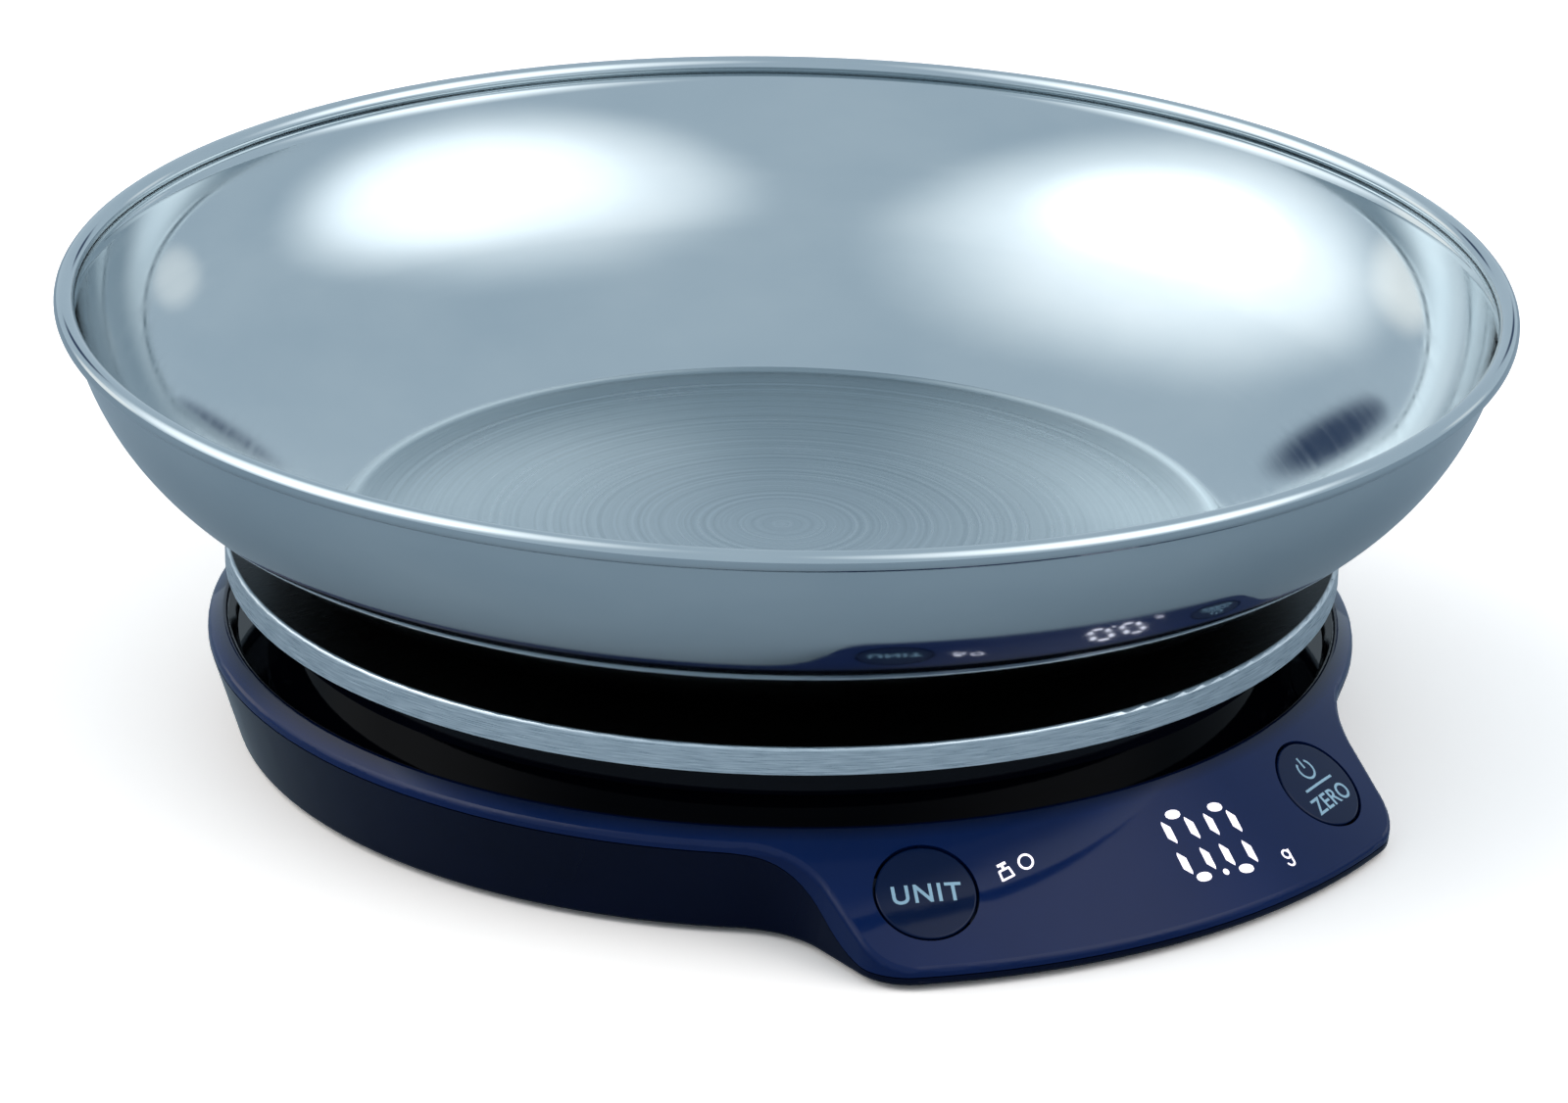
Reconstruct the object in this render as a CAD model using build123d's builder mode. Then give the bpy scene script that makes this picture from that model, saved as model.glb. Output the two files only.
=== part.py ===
"""Kitchen scale with a stainless bowl, in millimetres.

Z is up, the feet rest on Z = 0, the platform axis is the Z axis and the control panel faces -Y.
"""
import os
from math import asin, cos, degrees, radians, sin, tan

from build123d import *

os.makedirs("parts", exist_ok=True)

# bowl
rim_radius = 120.0
bowl_depth = 41.7          # platform top to the widest level of the rim
bowl_base_radius = 71.0
bowl_wall = 0.8
rim_bead = 1.7             # radius of the rolled rim
knuckle_radius = 14.0      # bend between the flat bottom and the side
knuckle_turn = 20.0
belly_inset = 17.8         # where the side's two arcs meet: in from the rim and below it
belly_drop = 26.4

# weighing platform
platform_top = 33.0
platform_radius = 92.4
band_height = 4.6
cap_sheet = 0.8
carrier_plate = 2.5
carrier_gap = 0.3          # between the carrier's edge and the cap's band
skirt_inset = 7.0
skirt_wall = 1.8
skirt_lift = 5.5           # skirt above the well's floor
platform_travel = 0.5
rib_clearance = 0.7
rib_radii = (28.0, 56.0)
rib_count = 12
rib_thickness = 1.6
pad_size = (3.4, 16.0)
pad_count = 6
pad_thickness = 0.6

# top cover
collar_gap = 2.0           # between the collar and the skirt
collar_wall = 1.8
collar_rise = 2.4
well_gap = 4.9             # between the skirt and the well's edge
well_depth = 3.5
crest_width = 1.9
crest_height = 20.0
slope_width = 3.1          # crest to the round wall, seen from above
panel_reach = 21.4         # crest to the nose's end, seen from above
panel_slope = 38.0
panel_skin = 1.6
edge_radius = 1.2          # round between the slope and the upright walls
crest_rounding = 0.7
deck_clearance = 2.2       # deck's underside above the load cell

# housing
foot_height = 1.0
wall = 2.0
seam_height = 16.0
seam_gap = 0.2
nose_seam_height = 2.4
round_draft = 4.8          # how far each wall leans in between the seam and the floor
nose_draft = 1.0
side_draft = 1.4
nose_half_width = 53.0
nose_corner = 9.0
neck_blend = 17.0
floor_edge = 0.9
parting_inset = 20.2       # where the parting line starts to fall, in from the crest
parting_run = 25.0

# control panel
button_inset = 13.86       # middle of a button in from the nose's side
button_run = 12.8          # from the crest down the slope to the middle of a button
key_radius = 8.0
key_gap = 0.45
key_thickness = 1.9
key_edge = 0.3
key_travel = 0.4
flange_reach = 9.7         # half the length of a key's two retaining ears
flange_width = 9.0
flange_depth = 2.6
flange_thickness = 0.7
stem_inset = 1.5
switch_size = 4.5
switch_height = 1.6
switch_gap = 0.5
plunger_radius = 1.0
plunger_gap = 0.35
plunger_foot = 0.3
small_board = 1.0
small_board_size = (16.0, 8.0)
display_height = 13.0
display_thickness = 2.5
display_depth = 3.7
display_run = 11.0
display_side_gap = 9.44    # between the display and a key's ears
mask_thickness = 0.4
mask_gap = 0.2

# load cell
cell_length = 80.0
cell_width = 12.7
cell_height = 12.7
cell_bottom = 5.5
cell_inset = 8.0           # from the bar's end to the middle of its screw pair
cell_screw_pitch = 7.0
cell_screw_radius = 1.95
cell_head_radius = 3.0
cell_head_height = 2.4
cell_head_depth = 6.5      # under the carrier's top
gauge_bore = 4.9
gauge_bore_offset = 5.0
gauge_window = 5.0
gauge_pad = (24.0, 8.0)
gauge_pad_thickness = 0.7
thread_play = 0.05
screw_clearance = 0.25
spacer_thickness = 1.0
upper_spacer_thickness = 2.0
spacer_length = 15.0
boss_clearance = 1.2
stop_gap = 0.4

# battery compartment
cell_diameter = 10.4
battery_length = 44.5
battery_gap = 0.8
battery_count = 3
battery_play = 0.3
spring_room = 4.75
compartment_front = 15.8
compartment_wall = 1.5
hinge_room = 3.8
latch_room = 3.1
door_thickness = 1.4
door_gap = 0.3
door_recess = 0.1
hinge_radius = 1.5
hinge_pin = 0.8
hinge_play = 0.08

# feet, screws and board
foot_radius = 8.0
foot_recess = 1.0
foot_inset = 14.5
post_inset = 8.5
post_angles = (0.0, 60.0, 120.0, 180.0)
back_foot_angle = 42.0
front_foot_inset = (13.6, 20.6)
nose_post_inset = (5.6, 33.6)
post_radius = 4.0
post_top = 8.0
boss_radius = 3.2
screw_radius = 1.4
screw_head = 2.9
screw_head_height = 1.9
screw_recess = 3.5
screw_length = 9.0
board_size = (56.0, 24.0)
board_inset = 21.6
board_thickness = 1.6
board_height = 6.0
cable_diameter = 1.2
supply_diameter = 1.0

# worked out from the sizes above
rim_level = platform_top + bowl_depth
skirt_radius = platform_radius - skirt_inset
collar_radius = skirt_radius - skirt_wall - collar_gap
well_radius = skirt_radius + well_gap
crest_radius = well_radius + crest_width
round_radius = crest_radius + slope_width
nose_radius = crest_radius + panel_reach
round_foot_radius = round_radius - round_draft
nose_foot_radius = nose_radius - nose_draft
nose_foot_half_width = nose_half_width - side_draft
slope = radians(panel_slope)
skin_drop = panel_skin / cos(slope)
button_x = nose_half_width - button_inset
button_azimuth = degrees(asin(button_x / (crest_radius + button_run * cos(slope))))
display_width = 2 * (button_x - flange_reach - display_side_gap)
floor_top = foot_height + wall
carrier_top = platform_top - cap_sheet
carrier_bottom = carrier_top - carrier_plate
cell_top = cell_bottom + cell_height
cell_screw_x = cell_length / 2 - cell_inset
boss_bottom = cell_top + upper_spacer_thickness
deck_bottom = cell_top + deck_clearance
deck_top = deck_bottom + wall
collar_top = deck_top + collar_rise
well_floor = crest_height - well_depth
skirt_bottom = well_floor + skirt_lift
battery_pitch = cell_diameter + battery_gap
battery_z = foot_height + door_recess + door_thickness + battery_play + cell_diameter / 2
compartment_top = battery_z + cell_diameter / 2 + battery_play
compartment_half = battery_length / 2 + spring_room
compartment_depth = hinge_room + cell_diameter + (battery_count - 1) * battery_pitch + latch_room
hinge_y = compartment_front + door_gap + hinge_radius
hinge_z = foot_height + door_recess + hinge_radius
back_foot_radius = round_foot_radius - foot_inset
post_circle = round_foot_radius - post_inset
front_foot = (nose_foot_half_width - front_foot_inset[0], front_foot_inset[1] - nose_foot_radius)
nose_post = (nose_foot_half_width - nose_post_inset[0], nose_post_inset[1] - nose_foot_radius)
board_centre = (0.0, board_inset - collar_radius)
foot_spots = [
    (back_foot_radius * sin(radians(a)), back_foot_radius * cos(radians(a)))
    for a in (-back_foot_angle, back_foot_angle)
] + [(side * front_foot[0], front_foot[1]) for side in (-1, 1)]
post_spots = [
    (post_circle * cos(radians(a)), post_circle * sin(radians(a))) for a in post_angles
] + [(side * nose_post[0], nose_post[1]) for side in (-1, 1)]
board_spots = [
    (board_centre[0] + sx * (board_size[0] / 2 - 3), board_centre[1] + sy * (board_size[1] / 2 - 3))
    for sx in (-1, 1)
    for sy in (-1, 1)
]
cell_screw_spots = [(side * cell_screw_pitch / 2, 0) for side in (-1, 1)]


def cone_height(radius):
    """Height of the sloping cover face at a distance from the axis."""
    return crest_height - (radius - crest_radius) * tan(slope)


def panel_plane(azimuth, run, depth=0.0):
    """Plane on the sloping face: its Z leaves the panel and its X runs round the housing."""
    out = Vector(sin(radians(azimuth)), -cos(radians(azimuth)), 0)
    side = Vector(cos(radians(azimuth)), sin(radians(azimuth)), 0)
    normal = out * sin(slope) + Vector(0, 0, cos(slope))
    radius = crest_radius + run * cos(slope)
    point = out * radius + Vector(0, 0, cone_height(radius)) - normal * depth
    return Plane(origin=point, x_dir=side, z_dir=normal)


def add_outline(round_r, nose_r, half_width, inset=0.0):
    """Plan outline: a disc with the panel's nose on its -Y side, blended at the necks."""
    disc = round_r - inset
    nose = nose_r - inset
    half = half_width - inset
    with BuildSketch(mode=Mode.PRIVATE) as front:
        Circle(nose)
        with Locations((0, -nose / 2)):
            Rectangle(2 * half, nose, mode=Mode.INTERSECT)
    Circle(disc)
    add(front.sketch)
    sketch = BuildSketch._get_context()
    tips = sketch.vertices().filter_by_position(Axis.Y, -2 * nose, -nose * 0.8)
    fillet(tips, nose_corner - inset)
    necks = sketch.vertices().filter_by_position(Axis.X, -half - 0.01, -half + 0.01)
    necks += sketch.vertices().filter_by_position(Axis.X, half - 0.01, half + 0.01)
    necks = necks.sort_by(Axis.Y)[-2:]
    fillet(necks, neck_blend + inset)


def envelope(inset=0.0, bottom=foot_height):
    """Housing volume: drafted walls up to the seam and upright walls above it."""
    share = (bottom - foot_height) / (seam_height - foot_height)
    low = [
        start + (end - start) * share
        for start, end in (
            (round_foot_radius, round_radius),
            (nose_foot_radius, nose_radius),
            (nose_foot_half_width, nose_half_width),
        )
    ]
    with BuildPart() as volume:
        with BuildSketch(Plane.XY.offset(bottom)):
            add_outline(*low, inset)
        with BuildSketch(Plane.XY.offset(seam_height)):
            add_outline(round_radius, nose_radius, nose_half_width, inset)
        loft(ruled=True)
        with BuildSketch(Plane.XY.offset(seam_height)):
            add_outline(round_radius, nose_radius, nose_half_width, inset)
        extrude(amount=deck_top - seam_height + 1)
    return volume.part


def roof_volume(deck, collar, well, well_edge, drop):
    """Revolved volume below a deck, a well floor and the long slope, seen from the side."""
    outer_end = nose_radius + 4
    base = -deck_top
    with BuildPart() as volume:
        with BuildSketch(Plane.XZ):
            with BuildLine():
                Polyline(
                    (0, base),
                    (0, deck),
                    (collar, deck),
                    (collar, well),
                    (well_edge, well),
                    (max(well_edge, crest_radius), cone_height(max(well_edge, crest_radius)) - drop),
                    (outer_end, cone_height(outer_end) - drop),
                    (outer_end, base),
                    close=True,
                )
            make_face()
        revolve(axis=Axis.Z)
    return volume.part


def above_parting(lift):
    """Everything above the parting line: level round the disc and falling beside the nose."""
    high = seam_height + lift
    low = nose_seam_height + lift
    start = parting_inset - crest_radius
    reach = nose_radius + nose_corner
    with BuildPart() as volume:
        with BuildSketch(Plane.YZ.offset(-reach)):
            with BuildLine():
                rear = Line((reach, high), (start, high))
                drop = Bezier(
                    rear @ 1,
                    (start - 0.4 * parting_run, high),
                    (start - 0.52 * parting_run, low),
                    (start - parting_run, low),
                )
                front = Line(drop @ 1, (-reach, low))
                Polyline(front @ 1, (-reach, rim_level), (reach, rim_level), rear @ 0)
            make_face()
        extrude(amount=2 * reach)
    return volume.part


def save(builder, name):
    """Label one finished piece and write it."""
    builder.part.label = name
    export_step(builder.part, f"parts/{name}.step")
    print(f"{name}: {len(builder.part.solids())} solid(s), {builder.part.volume:.0f} mm3")


# ---------------------------------------------------------------- bowl
with BuildPart() as bowl:
    with BuildSketch(Plane.XZ):
        with BuildLine():
            base = Line((0, platform_top), (bowl_base_radius, platform_top))
            knuckle = JernArc(base @ 1, base % 1, knuckle_radius, knuckle_turn)
            belly = (rim_radius - belly_inset, rim_level - belly_drop)
            lower = TangentArc(knuckle @ 1, belly, tangent=knuckle % 1)
            upper = TangentArc(
                lower @ 1,
                (rim_radius - 1.35 * rim_bead, rim_level - 0.53 * rim_bead),
                tangent=lower % 1,
            )
            offset(amount=bowl_wall, side=Side.LEFT)
        make_face()
        with Locations((rim_radius - rim_bead, rim_level)):
            Circle(rim_bead)
    revolve(axis=Axis.Z)
save(bowl, "bowl")

# ---------------------------------------------------------------- platform
with BuildPart() as platform_cap:
    with BuildSketch(Plane.XZ):
        with BuildLine():
            Polyline(
                (0, carrier_top),
                (platform_radius - cap_sheet, carrier_top),
                (platform_radius - cap_sheet, platform_top - band_height),
                (platform_radius, platform_top - band_height),
                (platform_radius, platform_top),
                (0, platform_top),
                close=True,
            )
        make_face()
    revolve(axis=Axis.Z)
    rim_edges = platform_cap.edges().filter_by(GeomType.CIRCLE).group_by(Axis.Z)[-1]
    fillet(rim_edges, cap_sheet * 0.75)
save(platform_cap, "platform_cap")

rib_bottom = collar_top + platform_travel + rib_clearance
with BuildPart() as platform_carrier:
    with BuildSketch(Plane.XY.offset(carrier_bottom)):
        Circle(platform_radius - cap_sheet - carrier_gap)
    extrude(amount=carrier_plate)
    with BuildSketch(Plane.XY.offset(skirt_bottom)):
        Circle(skirt_radius)
        Circle(skirt_radius - skirt_wall, mode=Mode.SUBTRACT)
    extrude(amount=carrier_bottom - skirt_bottom)
    with BuildSketch(Plane.XY.offset(rib_bottom)):
        for radius in rib_radii:
            Circle(radius + rib_thickness / 2)
            Circle(radius - rib_thickness / 2, mode=Mode.SUBTRACT)
        with PolarLocations(skirt_radius / 2, rib_count):
            Rectangle(skirt_radius - skirt_wall, rib_thickness)
    extrude(amount=carrier_bottom - rib_bottom)
    with BuildSketch(Plane.XY.offset(boss_bottom)):
        with Locations((cell_screw_x, 0)):
            RectangleRounded(spacer_length, cell_width, 1.5)
    extrude(amount=carrier_bottom - boss_bottom)
    with Locations((cell_screw_x, 0, carrier_top)):
        with Locations(*cell_screw_spots):
            CounterBoreHole(cell_screw_radius + screw_clearance, cell_head_radius + 0.3, cell_head_depth)
save(platform_carrier, "platform_carrier")

with BuildPart() as cap_pads:
    with BuildSketch(Plane.XY.offset(carrier_bottom - pad_thickness)):
        middle = (platform_radius - cap_sheet + skirt_radius) / 2
        with PolarLocations(middle, pad_count, start_angle=180 / pad_count):
            Rectangle(*pad_size)
    extrude(amount=pad_thickness)
save(cap_pads, "cap_pads")

head_seat = carrier_top - cell_head_depth
with BuildPart() as upper_cell_screws:
    with Locations((cell_screw_x, 0, head_seat)):
        with Locations(*cell_screw_spots):
            Cylinder(cell_head_radius, cell_head_height, align=(Align.CENTER, Align.CENTER, Align.MIN))
            shank = head_seat - cell_top + 8
            Cylinder(cell_screw_radius, shank, align=(Align.CENTER, Align.CENTER, Align.MAX))
    with BuildSketch(Plane.XY.offset(head_seat + cell_head_height)):
        with Locations((cell_screw_x, 0)):
            with Locations(*cell_screw_spots):
                RegularPolygon(1.3, 6)
    extrude(amount=-1.4, mode=Mode.SUBTRACT)
save(upper_cell_screws, "upper_cell_screws")

with BuildPart() as upper_spacer:
    with BuildSketch(Plane.XY.offset(cell_top)):
        with Locations((cell_screw_x, 0)):
            RectangleRounded(spacer_length, cell_width, 1.0)
            with Locations(*cell_screw_spots):
                Circle(cell_screw_radius + screw_clearance, mode=Mode.SUBTRACT)
    extrude(amount=upper_spacer_thickness)
save(upper_spacer, "upper_spacer")

# ---------------------------------------------------------------- load cell
with BuildPart() as load_cell:
    with BuildSketch(Plane.XY.offset(cell_bottom)):
        RectangleRounded(cell_length, cell_width, 0.6)
        for side in (-1, 1):
            with Locations((side * cell_screw_x, 0)):
                with Locations(*cell_screw_spots):
                    Circle(cell_screw_radius + thread_play, mode=Mode.SUBTRACT)
    extrude(amount=cell_height)
    with BuildSketch(Plane.XZ.offset(-cell_width)):
        for side in (-1, 1):
            with Locations((side * gauge_bore_offset, cell_bottom + cell_height / 2)):
                Circle(gauge_bore)
        with Locations((0, cell_bottom + cell_height / 2)):
            Rectangle(2 * gauge_bore_offset, gauge_window)
    extrude(amount=2 * cell_width, mode=Mode.SUBTRACT)
save(load_cell, "load_cell")

with BuildPart() as gauge_cover:
    with BuildSketch(Plane.XY.offset(cell_bottom - gauge_pad_thickness)):
        SlotOverall(*gauge_pad)
    extrude(amount=gauge_pad_thickness)
save(gauge_cover, "gauge_cover")

with BuildPart() as lower_spacer:
    with BuildSketch(Plane.XY.offset(cell_bottom - spacer_thickness)):
        with Locations((-cell_screw_x, 0)):
            RectangleRounded(spacer_length, cell_width, 1.0)
            with Locations(*cell_screw_spots):
                Circle(cell_screw_radius + screw_clearance, mode=Mode.SUBTRACT)
    extrude(amount=spacer_thickness)
save(lower_spacer, "lower_spacer")

recess_top = floor_top + 0.1
with BuildPart() as lower_cell_screws:
    with Locations((-cell_screw_x, 0, recess_top)):
        with Locations(*cell_screw_spots):
            Cylinder(3.2, 1.8, align=(Align.CENTER, Align.CENTER, Align.MAX))
            Cylinder(cell_screw_radius, 12, align=(Align.CENTER, Align.CENTER, Align.MIN))
    with BuildSketch(Plane.XY.offset(recess_top - 1.8)):
        with Locations((-cell_screw_x, 0)):
            with Locations(*cell_screw_spots):
                Rectangle(3.6, 0.8)
                Rectangle(0.8, 3.6)
    extrude(amount=1.0, mode=Mode.SUBTRACT)
save(lower_cell_screws, "lower_cell_screws")

with BuildPart() as overload_stop:
    with Locations((cell_screw_x, 0, floor_top)):
        Cylinder(2.6, 0.8, align=(Align.CENTER, Align.CENTER, Align.MIN))
        Cylinder(1.8, cell_bottom - platform_travel - stop_gap - floor_top,
                 align=(Align.CENTER, Align.CENTER, Align.MIN))
save(overload_stop, "overload_stop")

# ---------------------------------------------------------------- housing
with BuildPart() as lower_housing:
    add(envelope())
    add(above_parting(0), mode=Mode.SUBTRACT)
    add(envelope(wall, floor_top), mode=Mode.SUBTRACT)
    low_edges = lower_housing.edges().group_by(Axis.Z)[0]
    fillet(low_edges, floor_edge)
    # posts for the housing screws, the load cell and the main board
    with BuildSketch(Plane.XY.offset(floor_top)):
        with Locations(*post_spots):
            Circle(post_radius)
    extrude(amount=post_top - floor_top)
    with BuildSketch(Plane.XY.offset(floor_top)):
        with Locations((-cell_screw_x, 0)):
            RectangleRounded(spacer_length + 3, cell_width + 3, 2)
    extrude(amount=cell_bottom - spacer_thickness - floor_top)
    with BuildSketch(Plane.XY.offset(floor_top)):
        with Locations(*board_spots):
            Circle(2.6)
    extrude(amount=board_height - floor_top)
    # battery compartment
    with BuildSketch(Plane.XY.offset(foot_height)):
        with Locations((0, compartment_front - compartment_wall)):
            Rectangle(
                2 * (compartment_half + compartment_wall),
                compartment_depth + 2 * compartment_wall,
                align=(Align.CENTER, Align.MIN),
            )
    extrude(amount=compartment_top + compartment_wall - foot_height)
    with BuildSketch(Plane.XY.offset(foot_height)):
        with Locations((0, compartment_front)):
            Rectangle(2 * compartment_half, compartment_depth, align=(Align.CENTER, Align.MIN))
    extrude(amount=compartment_top - foot_height, mode=Mode.SUBTRACT)
    with BuildSketch(Plane.YZ.offset(-compartment_half - compartment_wall)):
        with Locations((hinge_y, hinge_z)):
            Circle(hinge_pin + hinge_play)
    extrude(amount=2 * (compartment_half + compartment_wall), mode=Mode.SUBTRACT)
    # screw holes
    with Locations(*[(x, y, foot_height) for x, y in post_spots]):
        Cylinder(screw_head + 0.4, screw_recess, align=(Align.CENTER, Align.CENTER, Align.MIN),
                 mode=Mode.SUBTRACT)
        Cylinder(screw_radius + 0.3, post_top, align=(Align.CENTER, Align.CENTER, Align.MIN),
                 mode=Mode.SUBTRACT)
    with Locations((-cell_screw_x, 0, foot_height)):
        with Locations(*cell_screw_spots):
            Cylinder(3.4, recess_top - foot_height, align=(Align.CENTER, Align.CENTER, Align.MIN),
                     mode=Mode.SUBTRACT)
            Cylinder(cell_screw_radius + screw_clearance, cell_bottom,
                     align=(Align.CENTER, Align.CENTER, Align.MIN), mode=Mode.SUBTRACT)
    with Locations(*[(x, y, board_height) for x, y in board_spots]):
        Cylinder(0.95, 2.6, align=(Align.CENTER, Align.CENTER, Align.MAX), mode=Mode.SUBTRACT)
    with Locations(*[(x, y, foot_height) for x, y in foot_spots]):
        Cylinder(foot_radius + 0.1, foot_recess, align=(Align.CENTER, Align.CENTER, Align.MIN),
                 mode=Mode.SUBTRACT)
save(lower_housing, "lower_housing")

ring_inner = round_radius - wall + 0.1
boss_x = spacer_length / 2 + boss_clearance
boss_y = cell_width / 2 + boss_clearance
with BuildPart() as top_cover:
    add(envelope())
    add(roof_volume(deck_top, collar_radius, well_floor, well_radius, 0), mode=Mode.INTERSECT)
    slope_face = top_cover.faces().filter_by(GeomType.CONE).sort_by(SortBy.AREA)[-1]
    crest_edges = slope_face.edges().group_by(Axis.Z)[-1]
    fillet(slope_face.edges() - crest_edges, edge_radius)
    slope_face = top_cover.faces().filter_by(GeomType.CONE).sort_by(SortBy.AREA)[-1]
    fillet(slope_face.edges().group_by(Axis.Z)[-1], crest_rounding)
    hollow_roof = roof_volume(
        deck_bottom, collar_radius - collar_wall, well_floor - wall, ring_inner, skin_drop
    )
    add(envelope(wall) & hollow_roof, mode=Mode.SUBTRACT)
    # the lower housing's wall takes this room below the seam
    add(envelope() - envelope(wall + seam_gap) - above_parting(seam_gap), mode=Mode.SUBTRACT)
    # raised collar round the deck, and the opening for the carrier's boss
    with BuildSketch(Plane.XY.offset(deck_bottom)):
        Circle(collar_radius)
        Circle(collar_radius - collar_wall, mode=Mode.SUBTRACT)
    extrude(amount=collar_top - deck_bottom)
    with BuildSketch(Plane.XY.offset(deck_bottom - 2)):
        with Locations((cell_screw_x, 0)):
            RectangleRounded(2 * boss_x, 2 * boss_y, 2)
    extrude(amount=collar_top, mode=Mode.SUBTRACT)
    # bosses for the housing screws
    with BuildSketch(Plane.XY.offset(post_top)):
        with Locations(*post_spots):
            Circle(boss_radius)
    extrude(amount=well_floor - wall / 2 - post_top)
    with Locations(*[(x, y, post_top) for x, y in post_spots]):
        Cylinder(screw_radius + thread_play, screw_length - 3.0,
                 align=(Align.CENTER, Align.CENTER, Align.MIN), mode=Mode.SUBTRACT)
    # key holes
    for side in (-1, 1):
        with Locations(panel_plane(side * button_azimuth, button_run)):
            Cylinder(key_radius + key_gap, 8, mode=Mode.SUBTRACT)
save(top_cover, "top_cover")

# ---------------------------------------------------------------- keys and their switches
flange_low = flange_depth + flange_thickness
switch_face = flange_low + key_travel + switch_gap
board_depth = switch_face + switch_height


def keycap(side):
    """Round key whose face follows the panel, with a retaining flange and a stem."""
    at = side * button_azimuth
    with BuildPart() as key:
        with Locations(panel_plane(at, button_run, key_thickness)):
            Cylinder(key_radius, 6, align=(Align.CENTER, Align.CENTER, Align.MIN))
        add(roof_volume(deck_top, collar_radius, well_floor, well_radius, 0), mode=Mode.INTERSECT)
        fillet(key.edges().sort_by(SortBy.LENGTH)[-2:].sort_by(Axis.Z)[-1:], key_edge)
        with Locations(panel_plane(at, button_run, flange_low)):
            Cylinder(key_radius - stem_inset, flange_low - key_thickness + 0.3,
                     align=(Align.CENTER, Align.CENTER, Align.MIN))
            Box(2 * flange_reach, flange_width, flange_thickness,
                align=(Align.CENTER, Align.CENTER, Align.MIN))
    return key


def plunger(side):
    """Round actuator of a tactile switch, between the key and the switch's case."""
    with BuildPart() as pin:
        with Locations(panel_plane(side * button_azimuth, button_run, switch_face + plunger_foot)):
            Cylinder(plunger_radius, switch_face + plunger_foot - flange_low,
                     align=(Align.CENTER, Align.CENTER, Align.MIN))
    return pin


def tact_switch(side):
    """Case of a tactile switch, open in the middle for its plunger."""
    with BuildPart() as case:
        with BuildSketch(panel_plane(side * button_azimuth, button_run, board_depth)):
            RectangleRounded(switch_size, switch_size, 0.4)
        extrude(amount=switch_height)
        with Locations(panel_plane(side * button_azimuth, button_run, board_depth)):
            with Locations((0, 0, switch_height)):
                Cylinder(plunger_radius + plunger_gap, 2 * (plunger_foot + key_travel + 0.25),
                         mode=Mode.SUBTRACT)
    return case


def switch_board(side):
    """Small board behind one key, square to the key's axis."""
    with BuildPart() as board:
        with BuildSketch(panel_plane(side * button_azimuth, button_run, board_depth + small_board)):
            RectangleRounded(*small_board_size, 1)
            with GridLocations(small_board_size[0] - 4, 0, 2, 1):
                Circle(0.8, mode=Mode.SUBTRACT)
        extrude(amount=small_board)
    return board


for word, side in (("unit", -1), ("zero", 1)):
    save(keycap(side), f"{word}_key")
    save(plunger(side), f"{word}_switch_plunger")
    save(tact_switch(side), f"{word}_switch")
    save(switch_board(side), f"{word}_switch_board")

# ---------------------------------------------------------------- display
film_half_arc = degrees(asin((display_width / 2 - 0.8) / (crest_radius + display_run * cos(slope))))
film_side = Vector(-sin(radians(film_half_arc)), -cos(radians(film_half_arc)), 0)
with BuildPart() as display_film:
    inner = crest_radius + (display_run - display_height / 2) * cos(slope)
    outer = crest_radius + (display_run + display_height / 2) * cos(slope)
    near = skin_drop + mask_gap
    far = near + mask_thickness / cos(slope)
    with BuildSketch(Plane(origin=(0, 0, 0), x_dir=film_side, z_dir=film_side.cross(Vector(0, 0, 1)))):
        with BuildLine():
            Polyline(
                (inner, cone_height(inner) - near),
                (outer, cone_height(outer) - near),
                (outer, cone_height(outer) - far),
                (inner, cone_height(inner) - far),
                close=True,
            )
        make_face()
    revolve(axis=Axis.Z, revolution_arc=2 * film_half_arc)
save(display_film, "display_film")

with BuildPart() as display_module:
    with BuildSketch(panel_plane(0, display_run, display_depth + display_thickness)):
        RectangleRounded(display_width, display_height, 0.8)
    extrude(amount=display_thickness)
    with BuildSketch(panel_plane(0, display_run, display_depth)):
        with GridLocations(9.4, 5.2, 4, 2):
            RectangleRounded(6.6, 4.2, 0.6)
            RectangleRounded(4.2, 2.0, 0.3, mode=Mode.SUBTRACT)
    extrude(amount=-0.8, mode=Mode.SUBTRACT)
save(display_module, "display_module")

with BuildPart() as display_board:
    with BuildSketch(panel_plane(0, display_run, display_depth + display_thickness + small_board)):
        RectangleRounded(display_width + 6, display_height + 1, 1)
        with GridLocations(display_width + 2, 0, 2, 1):
            Circle(0.8, mode=Mode.SUBTRACT)
    extrude(amount=small_board)
save(display_board, "display_board")

# ---------------------------------------------------------------- main board
with BuildPart() as main_board:
    with BuildSketch(Plane.XY.offset(board_height)):
        with Locations(board_centre):
            RectangleRounded(*board_size, 1.5)
        with Locations(*board_spots):
            Circle(1.1, mode=Mode.SUBTRACT)
    extrude(amount=board_thickness)
save(main_board, "main_board")

board_face = board_height + board_thickness
with BuildPart() as board_parts:
    with BuildSketch(Plane.XY.offset(board_face)):
        with Locations(board_centre):
            with Locations((0, 2)):
                Rectangle(10, 10)
            with Locations((-15, 6), (14, 5)):
                Rectangle(6, 4)
            with Locations((17, -5)):
                Rectangle(8, 3.4)
    extrude(amount=1.7)
    with Locations((board_centre[0] - 15, board_centre[1] - 4, board_face)):
        Cylinder(2.6, 4.6, align=(Align.CENTER, Align.CENTER, Align.MIN))
save(board_parts, "board_parts")

with BuildPart() as board_screws:
    with Locations(*[(x, y, board_face) for x, y in board_spots]):
        Cylinder(1.7, 1.0, align=(Align.CENTER, Align.CENTER, Align.MIN))
        Cylinder(0.9, board_thickness + 2.4, align=(Align.CENTER, Align.CENTER, Align.MAX))
save(board_screws, "board_screws")

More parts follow.
